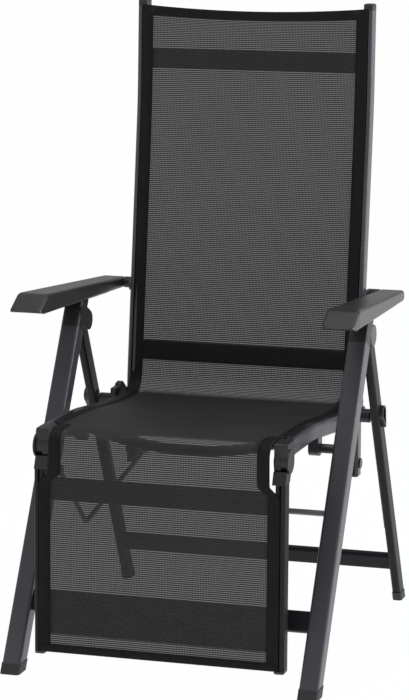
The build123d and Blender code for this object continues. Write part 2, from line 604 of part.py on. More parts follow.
    # Seat part of the sling, with the apron that turns down between the footrest hinges
    sheet = swept(sling_section(), 0, RAIL_ROUTE, RAIL_BEND) & span(SEAT_SLING_FRONT, SEAT_SLING_REAR)
    sheet_z = between(RAIL_ROUTE, SEAT_SLING_FRONT) + TUBE_DEPTH / 2 + FACE_GAP
    apron_start = (SEAT_SLING_FRONT, sheet_z + SLING_THICKNESS / 2)
    apron_edge = (APRON_REACH_Y, apron_start[1])
    apron_centre = (APRON_REACH_Y, apron_start[1] - APRON_RADIUS)
    apron_half = move(apron_centre, unit(-45), APRON_RADIUS)
    apron_end = move(apron_centre, (-1, 0), APRON_RADIUS)
    apron_path = Line(spot(0, apron_start), spot(0, apron_edge)) + ThreePointArc(
        spot(0, apron_edge), spot(0, apron_half), spot(0, apron_end)
    )
    apron_plane = Plane(origin=spot(0, apron_start), x_dir=(1, 0, 0), z_dir=(0, -1, 0))
    apron = sweep(apron_plane * Rectangle(2 * APRON_HALF_WIDTH, SLING_THICKNESS), path=apron_path)
    write("seat_sling", sheet + apron)


def seat_plug(end, direction):
    head = beam(RectangleRounded(TUBE_WIDTH, TUBE_DEPTH, TUBE_CORNER), TUBE_X, end, direction, 0, PLUG_HEAD)
    inner = TUBE_WIDTH - 2 * TUBE_WALL - TUBE_CORNER
    tongue_depth = TUBE_DEPTH / 2 - TUBE_WALL - FACE_GAP - BEAD_RADIUS
    tongue = Pos(0, tongue_depth / 2 + BEAD_RADIUS / 2) * Rectangle(inner, tongue_depth)
    return head + beam(tongue, TUBE_X, end, direction, -PLUG_LENGTH, 0)


def hinge_plates():
    low = TUBE_OUTER + PLATE_GAP
    high = low + PLATE_THICKNESS
    plate = strap(FOLD, RECLINE, PLATE_RADIUS, PLATE_RADIUS, low, high)
    for centre in (FOLD, RECLINE):
        plate -= disc(centre, HINGE_PIN_RADIUS + RUNNING_GAP, 0, CLIP_SIZE)
    write_group("hinge_plates", plate)


def sling_bar(route, height, tall, lean):
    centre = route_point(route, height)
    return cross_bar(centre, TUBE_INNER, SLING_BAR_THICK, tall, lean)


def route_point(route, height):
    """Place on an upright route at a given height."""
    for (y0, z0), (y1, z1) in zip(route, route[1:]):
        if height <= z1:
            return (y0 + (y1 - y0) * (height - z0) / (z1 - z0), height)
    return route[-1]


def backrest():
    tube = swept(tube_section(), TUBE_X, BACK_ROUTE, BACK_BEND)
    pin_hole = disc(RECLINE, HINGE_PIN_RADIUS + RUNNING_GAP, 0, CLIP_SIZE)
    bolt_hole = disc(LINK_REAR, LINK_STUD_RADIUS + RUNNING_GAP, 0, CLIP_SIZE)
    write_pair("back_tube", tube - pin_hole - bolt_hole)
    cap = tube_plug(BACK_END, BACK_TOP_DIR, TUBE_X, TOP_CAP_LENGTH, TOP_CAP_EDGE)
    write_pair("back_top_cap", cap)
    foot_plug = tube_plug((RECLINE_Y, BACK_FOOT_Z), (0, -1), TUBE_X, PLUG_HEAD, PLUG_EDGE)
    write_group("back_foot_plugs", foot_plug)
    write("back_upper_bar", sling_bar(BACK_ROUTE, UPPER_BAR_Z, UPPER_BAR_TALL, BACK_TOP_LEAN_DEGREES))
    write("back_lumbar_bar", sling_bar(BACK_ROUTE, LUMBAR_BAR_Z, LUMBAR_BAR_TALL, BACK_LEAN_DEGREES))

    plate_high = TUBE_OUTER + 2 * PLATE_GAP + PLATE_THICKNESS
    pin = disc(RECLINE, HINGE_PIN_RADIUS, TUBE_INNER, plate_high)
    write_group("recline_pins", pin + disc(RECLINE, PIN_HEAD_RADIUS, plate_high, plate_high + PIN_HEAD))
    bolt = disc(LINK_REAR, LINK_STUD_RADIUS, TUBE_INNER, TUBE_OUTER)
    write_group("back_foot_bolts", bolt + disc(LINK_REAR, PIN_HEAD_RADIUS, TUBE_OUTER, TUBE_OUTER + PIN_HEAD))

    # Plate that carries the armrest's rear hinge behind the tube
    root = route_point(BACK_ROUTE, ARM_HINGE_Z)
    arm_plate_high = TUBE_OUTER + PLATE_THICKNESS
    arm_plate = strap(root, ARM_HINGE, ARM_END_RADIUS, ARM_END_RADIUS, TUBE_OUTER, arm_plate_high)
    arm_plate -= disc(ARM_HINGE, ARM_SPIGOT_RADIUS + RUNNING_GAP, 0, CLIP_SIZE)
    write_group("arm_hinge_plates", arm_plate)

    # Backrest part of the sling; it leaves the grooves above the seat and curves forward
    sheet = swept(sling_section(), 0, BACK_ROUTE, BACK_BEND) & layer(BACK_SLING_LOW, BACK_SLING_TOP)
    lean = BACK_DIR
    forward = (-lean[1], lean[0])
    sheet_offset = TUBE_DEPTH / 2 + FACE_GAP + SLING_THICKNESS / 2
    start = move(route_point(BACK_ROUTE, BACK_SLING_LOW + SLING_THICKNESS), forward, sheet_offset)
    centre = move(start, forward, LUMBAR_CURVE)
    half = move(move(centre, forward, -LUMBAR_CURVE * math.sqrt(0.5)), lean, -LUMBAR_CURVE * math.sqrt(0.5))
    end = move(centre, lean, -LUMBAR_CURVE)
    curve_path = ThreePointArc(spot(0, start), spot(0, half), spot(0, end))
    curve_plane = Plane(origin=spot(0, start), x_dir=(1, 0, 0), z_dir=curve_path % 0)
    curve = sweep(curve_plane * Rectangle(2 * APRON_HALF_WIDTH, SLING_THICKNESS), path=curve_path)
    write("back_sling", sheet + curve)


def footrest():
    tube = swept(tube_section(), TUBE_X, FOOTREST_ROUTE, FOOTREST_BEND)
    write_pair("footrest_tube", tube & layer(0, FOOTREST_TOP_Z))
    run = Vector(0, FOOTREST_FOOT_Y - FOOTREST_TOP_Y, FOOTREST_FOOT_Z - FOOTREST_TOP_Z).normalized()
    down = (run.Y, run.Z)
    plug = tube_plug((FOOTREST_FOOT_Y, FOOTREST_FOOT_Z), down, TUBE_X, PLUG_HEAD, PLUG_EDGE)
    write_group("footrest_foot_plugs", plug)
    lean = math.degrees(math.atan2(FOOTREST_TOP_Y - FOOTREST_FOOT_Y, FOOTREST_TOP_Z - FOOTREST_FOOT_Z))
    upper = sling_bar(FOOTREST_ROUTE, FOOTREST_UPPER_BAR_Z, FOOTREST_UPPER_BAR_TALL, lean)
    write("footrest_upper_bar", upper)
    lower = sling_bar(FOOTREST_ROUTE, FOOTREST_LOWER_BAR_Z, FOOTREST_LOWER_BAR_TALL, lean)
    write("footrest_lower_bar", lower)

    # Hinge block: the inner half of the hinge, and a neck as wide as the block down to the tube
    low = hinge_block_low()
    middle = (low + TUBE_OUTER) / 2
    half = TUBE_DEPTH / 2
    neck_top = FOOT_HINGE_Z - FOOT_HINGE_RADIUS - FACE_GAP
    front_y = FOOTREST_TOP_Y - half
    rear_y = FOOTREST_TOP_Y + half
    neck = slab([
        (front_y, FOOTREST_TOP_Z),
        (rear_y, FOOTREST_TOP_Z),
        (FOOT_HINGE_Y + FOOT_HINGE_RADIUS, neck_top),
        (FOOT_HINGE_Y - FOOT_HINGE_RADIUS, neck_top),
    ], low, TUBE_OUTER - FACE_GAP)
    inner = strap(FOOT_HINGE, (FOOT_HINGE_Y, neck_top), FOOT_HINGE_RADIUS, FOOT_HINGE_NECK, low, middle)
    inner -= layer(0, FOOTREST_TOP_Z)
    disc_clear = disc(FOOT_HINGE, FOOT_HINGE_RADIUS + FACE_GAP, middle, TUBE_OUTER + OVERRUN)
    bore = disc(FOOT_HINGE, FOOT_HINGE_PIN_RADIUS + RUNNING_GAP, 0, CLIP_SIZE)
    write_pair("footrest_hinge_block", neck - disc_clear + inner - bore)
    write_group("footrest_hinge_pins", disc(FOOT_HINGE, FOOT_HINGE_PIN_RADIUS, low, TUBE_OUTER - FACE_GAP))

    # Lug behind the left hinge block, with the stud that the link turns on
    lug_high = -low + LUG_THICKNESS
    lug_low = -low
    seat = (FOOTREST_TOP_Y, (FOOTREST_TOP_Z + neck_top) / 2)
    lug = strap(seat, LINK_FRONT, LUG_RADIUS, LUG_RADIUS, lug_low, lug_high)
    stud = disc(LINK_FRONT, LINK_STUD_RADIUS, lug_high, lug_high + FACE_GAP + LINK_EYE_THICKNESS)
    write("link_lug", lug + stud)
    sheet = swept(sling_section(), 0, FOOTREST_ROUTE, FOOTREST_BEND)
    write("footrest_sling", sheet & layer(FOOT_SLING_LOW, FOOT_SLING_TOP))


def sync_link():
    """Bent rod with an eye on the footrest's stud and a flat end beside the backrest's bolt."""
    eye_low = -hinge_block_low() + LUG_THICKNESS + FACE_GAP
    eye_high = eye_low + LINK_EYE_THICKNESS
    middle = (eye_low + eye_high) / 2
    path = FilletPolyline(
        spot(middle, LINK_FRONT), spot(middle, LINK_ELBOW), spot(middle, LINK_REAR), radius=LINK_BEND
    )
    plane = Plane(origin=path @ 0, x_dir=(1, 0, 0), z_dir=path % 0)
    rod = sweep(plane * Circle(LINK_ROD_RADIUS), path=path)
    front_eye = disc(LINK_FRONT, LINK_EYE_RADIUS, eye_low, eye_high)
    rear_end = disc(LINK_REAR, LINK_EYE_RADIUS, -TUBE_INNER + FACE_GAP, eye_high)
    link = rod + front_eye + rear_end
    write("sync_link", link - disc(LINK_FRONT, LINK_STUD_RADIUS + RUNNING_GAP, -CLIP_SIZE, 0))


def arm_shape(inset, top_inset, low_cut):
    """Armrest body, drawn in by a wall for its hollow."""
    slope = (ARM_HINGE_Z + ARM_END_RADIUS - ARM_TOP_FRONT_Z) / (ARM_HINGE_Y - ARM_TOP_FRONT_Y)
    top_rear = ARM_TOP_FRONT_Z + slope * (ARM_HINGE_Y - ARM_TOP_FRONT_Y)
    profile = [
        (ARM_LIP_Y + inset, ARM_LIP_Z - low_cut),
        (ARM_HINGE_Y, ARM_HINGE_Z - ARM_END_RADIUS - low_cut),
        (ARM_HINGE_Y, top_rear - top_inset),
        (ARM_TOP_FRONT_Y + inset, ARM_TOP_FRONT_Z - top_inset),
        (ARM_NOSE_Y + 2 * inset, ARM_NOSE_Z + inset / 2),
    ]
    body = slab(profile, ARM_INNER_REAR_X - OVERRUN, OVERALL_WIDTH / 2 + OVERRUN)
    if not inset:
        body = fillet(body.edges().filter_by(Axis.X).sort_by(Axis.Z)[-1], ARM_TOP_ROUND)
        body += disc(ARM_HINGE, ARM_END_RADIUS, ARM_INNER_REAR_X - OVERRUN, OVERALL_WIDTH / 2 + OVERRUN)
    rear = ARM_HINGE_Y + ARM_END_RADIUS
    plan = make_face(Polyline(
        (ARM_INNER_FRONT_X + inset, ARM_NOSE_Y + inset, 0),
        (OVERALL_WIDTH / 2 - inset, ARM_NOSE_Y + inset, 0),
        (OVERALL_WIDTH / 2 - inset, ARM_TOP_FRONT_Y, 0),
        (ARM_OUTER_REAR_X - inset, rear, 0),
        (ARM_INNER_REAR_X + inset, rear, 0),
        close=True,
    ))
    column = extrude(plan, amount=CLIP_SIZE, dir=(0, 0, 1))
    if not inset:
        column = fillet(column.edges().filter_by(Axis.Z).group_by(Axis.Y)[0], ARM_CORNER)
    return body & column


def armrests():
    solid = arm_shape(0.0, 0.0, 0.0)
    long_edges = solid.edges().sort_by(SortBy.LENGTH)[-4:]
    solid = fillet(long_edges.sort_by(Axis.Z)[-2:], ARM_EDGE)
    cavity = arm_shape(ARM_WALL, ARM_WALL, OVERRUN)
    cavity &= span(ARM_NOSE_Y, ARM_HINGE_Y - ARM_BOSS_LENGTH)
    bore = disc(ARM_HINGE, ARM_PIN_RADIUS + RUNNING_GAP, 0, ARM_INNER_REAR_X + ARM_PIN_REACH)
    write_pair("armrest", solid - cavity - bore)

    # Plate in the hollow, level with the underside, that slides on the leg's top
    plate = slab([
        (SLIDE_PLATE_FRONT_Y, arm_underside(SLIDE_PLATE_FRONT_Y)),
        (SLIDE_PLATE_REAR_Y, arm_underside(SLIDE_PLATE_REAR_Y)),
        (SLIDE_PLATE_REAR_Y, arm_underside(SLIDE_PLATE_REAR_Y) + ARM_WALL),
        (SLIDE_PLATE_FRONT_Y, arm_underside(SLIDE_PLATE_FRONT_Y) + ARM_WALL),
    ], ARM_INNER_REAR_X, OVERALL_WIDTH / 2)
    write_pair("arm_slide_plate", plate & cavity)

    # Stepped bush: it turns in the backrest's plate, and the armrest turns on its pin
    collar_low = TUBE_OUTER + PLATE_THICKNESS + FACE_GAP
    collar_high = ARM_INNER_REAR_X - FACE_GAP
    bush = disc(ARM_HINGE, ARM_SPIGOT_RADIUS, TUBE_OUTER + FACE_GAP, collar_low)
    bush += disc(ARM_HINGE, ARM_END_RADIUS, collar_low, collar_high)
    bush += disc(ARM_HINGE, ARM_PIN_RADIUS, collar_high, ARM_INNER_REAR_X + ARM_PIN_REACH - FACE_GAP)
    write_pair("arm_bush", bush)


def main():
    os.makedirs("parts", exist_ok=True)
    front_frame()
    rear_frame()
    seat_frame()
    hinge_plates()
    backrest()
    footrest()
    sync_link()
    armrests()
    print("apex", APEX, "seat axle", SEAT_AXLE, "slide", SLIDE, "slide run", SLIDE_START, SLIDE_END)


main()
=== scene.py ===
import json
import math

import bpy
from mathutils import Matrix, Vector


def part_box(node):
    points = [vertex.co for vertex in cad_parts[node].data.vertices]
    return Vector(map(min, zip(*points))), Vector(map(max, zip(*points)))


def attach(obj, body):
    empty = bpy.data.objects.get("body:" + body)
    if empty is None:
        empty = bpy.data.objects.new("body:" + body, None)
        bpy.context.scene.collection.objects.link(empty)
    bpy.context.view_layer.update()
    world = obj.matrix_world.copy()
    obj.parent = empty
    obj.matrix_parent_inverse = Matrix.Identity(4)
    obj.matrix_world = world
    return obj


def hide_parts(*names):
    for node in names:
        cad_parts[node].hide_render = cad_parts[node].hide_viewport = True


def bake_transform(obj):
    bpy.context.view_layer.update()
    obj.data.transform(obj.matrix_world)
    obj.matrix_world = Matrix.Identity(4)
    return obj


# Reclining garden armchair dressed over its frame. Metres, +Z up, the chair faces -Y.
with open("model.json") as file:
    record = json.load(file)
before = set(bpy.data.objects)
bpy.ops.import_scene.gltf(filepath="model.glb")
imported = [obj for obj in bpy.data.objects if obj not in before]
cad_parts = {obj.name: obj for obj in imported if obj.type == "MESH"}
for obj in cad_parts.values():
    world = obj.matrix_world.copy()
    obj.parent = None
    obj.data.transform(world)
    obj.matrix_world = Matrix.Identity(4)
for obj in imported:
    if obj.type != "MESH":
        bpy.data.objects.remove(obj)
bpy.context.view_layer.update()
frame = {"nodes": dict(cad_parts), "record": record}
nodes = frame["nodes"]
MM = 0.001

# Side view of the sling tubes' middles, as (y, z), from the footrest's foot to the top of the back
TUBE_HALF_DEPTH = 14 * MM
SHEET_LIFT = 0.9 * MM
FOOT_Y = -311 * MM
FOOT_ROUTE = [(FOOT_Y, 44 * MM), (-304 * MM, 352 * MM)]
RAIL_ROUTE = [(-262 * MM, 407 * MM), (-125 * MM, 404 * MM), (40 * MM, 383.5 * MM), (154 * MM, 376.7 * MM)]
BACK_ROUTE = [(184 * MM, 385 * MM), (256.05 * MM, 913 * MM), (264.7 * MM, 1083 * MM)]
SEAT_CORNER_Y = 150 * MM
BACK_CORNER_Z = 414 * MM
CORNER_SHIFT = 1 * MM

# How far along the cloth each corner of its side view is rounded, from the footrest up
CORNER_REACHES = [25 * MM, 30 * MM, 90 * MM, 60 * MM, 40 * MM, 90 * MM]
CORNER_STEPS = 12
ROW_STEP = 6 * MM
TINY = 1e-9

# Where the cloth is cut into pieces, and a span about each cut between two bodies
SEAT_CUT = (-60 * MM, 412 * MM)
CORNER_CUT = (167 * MM, 396 * MM)
FOOT_BEND = [(0, -322 * MM, 352 * MM), (0, -262 * MM, 424 * MM)]
SEAT_BEND = [(0, 132 * MM, 392 * MM), (0, 166 * MM, 396 * MM)]
BACK_BEND = [(0, 168 * MM, 398 * MM), (0, 176 * MM, 440 * MM)]

# Width of the cloth: in the tubes' grooves, and where its edge crosses the footrest's hinge
GROOVE_X = 208 * MM
FREE_HALF = 190 * MM
FOOTREST_REAR_Y = -290 * MM
GROOVE_END_Z = (334 * MM, 352 * MM)
GROOVE_START_Y = (-262 * MM, -244 * MM)

# Edges of the cloth
HEM_WIDTH = 20.5 * MM
HEM_RAISE = 0.7 * MM
HEM_ROUND = 2 * MM
HEM_FLAT = 4.5 * MM
EDGE_DROP = 4 * MM
BINDING = 2.2 * MM
SIDE_SHARE = 0.4
NEAR_FLAT_SHARE = 0.8
TOP_HEM = 14 * MM
MIDDLE_COLUMNS = 36

# How far the cloth hangs below the line between its edges, and where the hang starts and ends
TOP_SAG = 9 * MM
TOP_SAG_FADE = 60 * MM
SEAT_SAG = 7 * MM
SEAT_SAG_IN = (-300 * MM, -150 * MM)
SEAT_SAG_OUT = (60 * MM, 160 * MM)
BACK_SAG = 3 * MM
BACK_SAG_IN = (430 * MM, 560 * MM)
BACK_SAG_OUT = (900 * MM, 985 * MM)

# Where the slow colour drift and the fine grain change from one tone to the other
DRIFT_STOPS = (0.35, 0.68)
GRAIN_STOPS = (0.3, 0.7)
COAT_ROUGH = 0.25

# Weave
COLUMN_PITCH = 2.7 * MM
ROW_PITCH = 3.5 * MM
HOLE_CLEAR_SHARE = 0.31
COLUMN_CLEAR_SHARE = 0.6
FACING_BLEND = 0.5
SHUT_FACING = 0.62
OPEN_FACING = 0.40
CORD_SHARE = 0.6
MESH_ROUGH = 0.62
MESH_GLOSS = 0.42
MESH_BUMP = (0.5, 0.0004)
HEM_ROUGH = 0.55
HEM_GLOSS = 0.12
HEM_BUMP = (0.35, 0.0002)

# Sewn pockets round the cross bars: name, bar, half height, lean in degrees, body, share of the back's sag
POCKETS = [
    ("pocket_back_upper", "back_upper_bar", 17.2 * MM, 2.96, "backrest", 0.2),
    ("pocket_back_lumbar", "back_lumbar_bar", 18 * MM, 7.77, "backrest", 0.3),
    ("pocket_foot_upper", "footrest_upper_bar", 18 * MM, 1.3, "footrest_frame", 0),
    ("pocket_foot_lower", "footrest_lower_bar", 37 * MM, 1.3, "footrest_frame", 0),
]
POCKET_GAP = 0.9 * MM
POCKET_HALF = FREE_HALF + 3 * MM
POCKET_EDGE = 1.2 * MM
POCKET_REAR = 8.2 * MM
REAR_SHARE = 0.6
BAR_CLEAR = 0.8 * MM
BAR_NECK = 2 * MM
BAR_SWELL = 1 * MM
BAR_ROUND = 4 * MM

# Folded lower edge of the footrest's cloth, as (out, up) in millimetres from the cloth's lower edge
FOOT_HEM = [(-0.9, 14), (-1.1, 8), (-1.1, 2), (-0.4, -0.6), (0.8, -0.6), (1.2, 2), (1.2, 8), (1.0, 14)]
FOOT_HEM_HALF = GROOVE_X - HEM_WIDTH * 0.2
LENGTH_STEPS = 24

# Stage
FLOOR_SIZE = 60
FLOOR_DROP = 0.5 * MM
FLOOR_TONE = (0.9, 0.9, 0.9, 1)
FLOOR_ROUGH = 0.9
FLOOR_WHITE_SHARE = 0.985
WORLD_LIGHT = 0.45
WORLD_SEEN = 0.55

# Lights: name, place, size, power, colour
LIGHT_AIM = (0, 0, 0.55)
LIGHTS = [
    ("key_right", (3.0, 1.0, 1.6), (1.4, 2.2), 72, (0.97, 0.96, 1.0)),
    ("top", (0.2, -0.4, 3.6), (2.6, 2.6), 38, (1, 1, 1)),
    ("front_left", (-2.4, -3.2, 1.6), (1.6, 2.2), 9, (1, 1, 1)),
]

# Camera, fitted to the picture
CAMERA_PLACE = (1.4324, -4.7894, 1.4796)
CAMERA_AIM = (-0.0164, 0, 0.508)
SENSOR_SIDE = 36
FOCAL_PIXELS = 2939
PICTURE_HEIGHT = 700

# Tubes given painted shade: a darker copy of the frame paint, though their paint is the same as the rest of
# the frame
PAINTED_SHADE_TUBES = ("rear_leg", "rear_cross_bar", "front_cross_bar", "footrest_tube")


def linear(*rgb):
    """Screen values from 0 to 255 as linear colour."""
    return tuple(((c / 255 + 0.055) / 1.055) ** 2.4 if c > 10 else c / 255 / 12.92 for c in rgb) + (1.0,)


def grey(level):
    return (level, level, level, 1.0)


def new_material(name):
    material = bpy.data.materials.new(name)
    material.use_nodes = True
    shader = material.node_tree.nodes["Principled BSDF"]
    return material, material.node_tree, shader


def link_value(tree, source, target):
    tree.links.new(source, target)


def math_node(tree, operation, first, second=None):
    node = tree.nodes.new("ShaderNodeMath")
    node.operation = operation
    for socket, value in zip(node.inputs, (first, second)):
        if value is None:
            continue
        if isinstance(value, (int, float)):
            socket.default_value = value
        else:
            link_value(tree, value, socket)
    return node.outputs[0]


def mix_shaders(tree, share, first, second):
    """Two surfaces mixed, as what the material shows."""
    mix = tree.nodes.new("ShaderNodeMixShader")
    link_value(tree, share, mix.inputs[0])
    link_value(tree, first, mix.inputs[1])
    link_value(tree, second, mix.inputs[2])
    link_value(tree, mix.outputs[0], tree.nodes["Material Output"].inputs["Surface"])


def noise(tree, scale, detail, rough):
    """Noise on the object's own coordinates."""
    place = tree.nodes.new("ShaderNodeTexCoord")
    texture = tree.nodes.new("ShaderNodeTexNoise")
    texture.inputs["Scale"].default_value = scale
    texture.inputs["Detail"].default_value = detail
    texture.inputs["Roughness"].default_value = rough
    link_value(tree, place.outputs["Object"], texture.inputs["Vector"])
    return texture.outputs["Fac"]


def ramp(tree, source, stops, colours):
    node = tree.nodes.new("ShaderNodeValToRGB")
    for element, place, colour in zip(node.color_ramp.elements, stops, colours):
        element.position = place
        element.color = colour
    link_value(tree, source, node.inputs["Fac"])
    return node.outputs["Color"]


def add_bump(tree, shader, source, strength, distance):
    bump = tree.nodes.new("ShaderNodeBump")
    bump.inputs["Strength"].default_value = strength
    bump.inputs["Distance"].default_value = distance
    link_value(tree, source, bump.inputs["Height"])
    link_value(tree, bump.outputs["Normal"], shader.inputs["Normal"])


def surface(name, dark, light, rough, grain, bump, metallic=0.0, coat=0.0, gloss=0.5):
    """Painted, moulded or plated surface: slow colour drift, uneven gloss and a fine grain."""
    material, tree, shader = new_material(name)
    drift = noise(tree, scale=9.0, detail=3.0, rough=0.5)
    colour = ramp(tree, drift, DRIFT_STOPS, (dark, light))
    link_value(tree, colour, shader.inputs["Base Color"])
    fine = noise(tree, scale=grain, detail=3.0, rough=0.6)
    dullness = ramp(tree, fine, GRAIN_STOPS, (grey(rough[0]), grey(rough[1])))
    link_value(tree, dullness, shader.inputs["Roughness"])
    add_bump(tree, shader, fine, *bump)
    shader.inputs["Metallic"].default_value = metallic
    shader.inputs["Specular IOR Level"].default_value = gloss
    shader.inputs["Coat Weight"].default_value = coat
    shader.inputs["Coat Roughness"].default_value = COAT_ROUGH
    return material


def weave_cells(tree):
    """Place within a cell of the weave, across and along, each from 0 to 1."""
    place = tree.nodes.new("ShaderNodeUVMap")
    place.uv_map = "weave"
    split = tree.nodes.new("ShaderNodeSeparateXYZ")
    link_value(tree, place.outputs["UV"], split.inputs[0])
    across = math_node(tree, "FRACT", math_node(tree, "DIVIDE", split.outputs[0], COLUMN_PITCH))
    along = math_node(tree, "FRACT", math_node(tree, "DIVIDE", split.outputs[1], ROW_PITCH))
    return across, along


def wave(tree, operation, share, turns):
    """Sine or cosine over a cell, of so many half turns."""
    return math_node(tree, operation, math_node(tree, "MULTIPLY", share, turns * math.pi))


def facing_share(tree):
    """How open the gaps look: shut where the cloth is seen at a slant."""
    tilt = tree.nodes.new("ShaderNodeLayerWeight")
    tilt.inputs["Blend"].default_value = FACING_BLEND
    view = tree.nodes.new("ShaderNodeMapRange")
    view.inputs["From Min"].default_value = SHUT_FACING
    view.inputs["From Max"].default_value = OPEN_FACING
    link_value(tree, tilt.outputs["Facing"], view.inputs["Value"])
    return view.outputs["Result"]


def cloth_base(tree, shader, scale, tones, rough, gloss):
    """Colour with a slow drift, and an even gloss."""
    drift = noise(tree, scale=scale, detail=4.0, rough=0.6)
    colour = ramp(tree, drift, GRAIN_STOPS, [linear(tone, tone, tone) for tone in tones])
    link_value(tree, colour, shader.inputs["Base Color"])
    shader.inputs["Roughness"].default_value = rough
    shader.inputs["Specular IOR Level"].default_value = gloss


def mesh_fabric():
    """Open weave of coated threads: dark ribs with small gaps that show what lies behind."""
    material, tree, shader = new_material("sling_mesh")
    across, along = weave_cells(tree)
    in_row = math_node(tree, "MAXIMUM", wave(tree, "COSINE", along, 2), 0.0)
    in_column = math_node(tree, "MULTIPLY", wave(tree, "COSINE", across, 2), 1 - COLUMN_CLEAR_SHARE)
    in_column = math_node(tree, "ADD", in_column, COLUMN_CLEAR_SHARE)
    gap = math_node(tree, "MULTIPLY", in_column, in_row)
    gap = math_node(tree, "MULTIPLY", gap, facing_share(tree))
    gap = math_node(tree, "MULTIPLY", gap, HOLE_CLEAR_SHARE)
    cloth_base(tree, shader, scale=14.0, tones=(27, 33), rough=MESH_ROUGH, gloss=MESH_GLOSS)
    rib = wave(tree, "SINE", along, 1)
    cord = wave(tree, "SINE", across, 1)
    height = math_node(tree, "ADD", rib, math_node(tree, "MULTIPLY", cord, CORD_SHARE))
    add_bump(tree, shader, height, *MESH_BUMP)
    clear = tree.nodes.new("ShaderNodeBsdfTransparent")
    mix_shaders(tree, gap, shader.outputs[0], clear.outputs[0])
    return material


def hem_fabric():
    """Bound edge and sewn pockets: the same cloth doubled, with no gaps."""
    material, tree, shader = new_material("sling_hem")
    cloth_base(tree, shader, scale=30.0, tones=(23, 28), rough=HEM_ROUGH, gloss=HEM_GLOSS)
    across, along = weave_cells(tree)
    rib = wave(tree, "SINE", along, 1)
    cord = wave(tree, "SINE", across, 1)
    add_bump(tree, shader, math_node(tree, "MULTIPLY", rib, cord), *HEM_BUMP)
    return material


def frame_paint():
    return surface("frame_paint", linear(54, 53, 61), linear(61, 60, 69),
                   rough=(0.34, 0.46), grain=900.0, bump=(0.10, 0.0002), coat=0.25)


# Darker copy of the frame paint: painted shade for the tubes that lie in shade
def painted_shade_paint():
    return surface("painted_shade_frame_paint", linear(29, 29, 33), linear(34, 34, 39),
                   rough=(0.40, 0.52), grain=900.0, bump=(0.10, 0.0002), gloss=0.2)


def black_plastic():
    return surface("black_plastic", linear(24, 24, 26), linear(31, 31, 33),
                   rough=(0.38, 0.52), grain=700.0, bump=(0.18, 0.0002))


def arm_plastic():
    return surface("arm_plastic", linear(36, 36, 37), linear(43, 43, 44),
                   rough=(0.30, 0.42), grain=1100.0, bump=(0.22, 0.0002))


def foot_plastic():
    return surface("foot_plastic", linear(34, 34, 37), linear(42, 42, 45),
                   rough=(0.50, 0.66), grain=500.0, bump=(0.25, 0.0003))


def light_rod():
    return surface("light_rod", linear(140, 140, 143), linear(156, 156, 159),
                   rough=(0.28, 0.40), grain=500.0, bump=(0.05, 0.0001), metallic=0.3)


def pin_steel():
    return surface("pin_steel", linear(60, 60, 63), linear(82, 82, 86),
                   rough=(0.26, 0.42), grain=600.0, bump=(0.08, 0.0001), metallic=0.6)


def dress_frame(hem):
    """Every node of the frame takes the material of its slot; foot caps have their own, and the tubes in
    shade take a darker copy of the frame paint as painted shade.
    """
    by_slot = {
        "frame_metal": frame_paint(),
        "black_plastic": black_plastic(),
        "arm_plastic": arm_plastic(),
        "light_rod": light_rod(),
        "pin_steel": pin_steel(),
        "sling_fabric": hem,
    }
    painted_shade = painted_shade_paint()
    caps = foot_plastic()
    for part in frame["record"]["subparts"]:
        name = part["node"]
        material = by_slot[part["material_slot"]]
        if "foot_cap" in name:
            material = caps
        # Tubes in shade take the darker copy of the frame paint: painted shade
        if name.startswith(PAINTED_SHADE_TUBES):
            material = painted_shade
        nodes[name].data.materials.clear()
        nodes[name].data.materials.append(material)


def shifted(route, lift):
    """A route moved off its line, to the side that the sitter touches."""
    moved = []
    for i, point in enumerate(route):
        before = route[max(i - 1, 0)]
        after = route[min(i + 1, len(route) - 1)]
        run = Vector((after[0] - before[0], after[1] - before[1])).normalized()
        moved.append((point[0] - run.y * lift, point[1] + run.x * lift))
    return moved


def cut_low(route, z):
    """A route that starts at a height on its first run."""
    (y0, z0), (y1, z1) = route[0], route[1]
    return [(y0 + (y1 - y0) * (z - z0) / (z1 - z0), z)] + route[1:]


def sling_route():
    """Side view of the whole cloth: its two ends and the corners between them."""
    lift = TUBE_HALF_DEPTH + SHEET_LIFT
    foot = shifted(FOOT_ROUTE, lift)
    seat = shifted(RAIL_ROUTE, lift)
    back = cut_low(shifted(BACK_ROUTE, lift), BACK_CORNER_Z)
    slope = (seat[3][1] - seat[2][1]) / (seat[3][0] - seat[2][0])
    seat_end_z = seat[2][1] + slope * (SEAT_CORNER_Y - seat[2][0])
    front_corner = (foot[1][0] - CORNER_SHIFT, seat[0][1])
    rear_corner = (back[0][0] - CORNER_SHIFT, seat_end_z - CORNER_SHIFT)
    return [foot[0], foot[1], front_corner, seat[1], seat[2], rear_corner, back[1], back[2]]


def smooth_path(route):
    """Runs joined by parabolas that leave each corner by its own reach."""
    places = [Vector(place) for place in route]
    path = [places[0]]
    for before, corner, after, reach in zip(places, places[1:], places[2:], CORNER_REACHES):
        first = (before - corner).normalized() * reach
        last = (after - corner).normalized() * reach
        for k in range(CORNER_STEPS + 1):
            t = k / CORNER_STEPS
            path.append(corner + first * (1 - t) ** 2 + last * t ** 2)
    path.append(places[-1])
    return path


def resample(path, step):
    """Evenly spaced places with their distance along the cloth and outward direction."""
    lengths = [0.0]
    for a, b in zip(path, path[1:]):
        lengths.append(lengths[-1] + (b - a).length)
    count = round(lengths[-1] / step)
    rows, j = [], 0
    for i in range(count + 1):
        s = lengths[-1] * i / count
        while j < len(lengths) - 2 and lengths[j + 1] < s:
            j += 1
        share = (s - lengths[j]) / max(lengths[j + 1] - lengths[j], TINY)
        rows.append([s, path[j].lerp(path[j + 1], min(share, 1.0))])
    for i, row in enumerate(rows):
        run = (rows[min(i + 1, count)][1] - rows[max(i - 1, 0)][1]).normalized()
        row.append(Vector((-run.y, run.x)))
    return rows


def ease(value, low, high):
    t = min(max((value - low) / (high - low), 0.0), 1.0)
    return t * t * (3 - 2 * t)


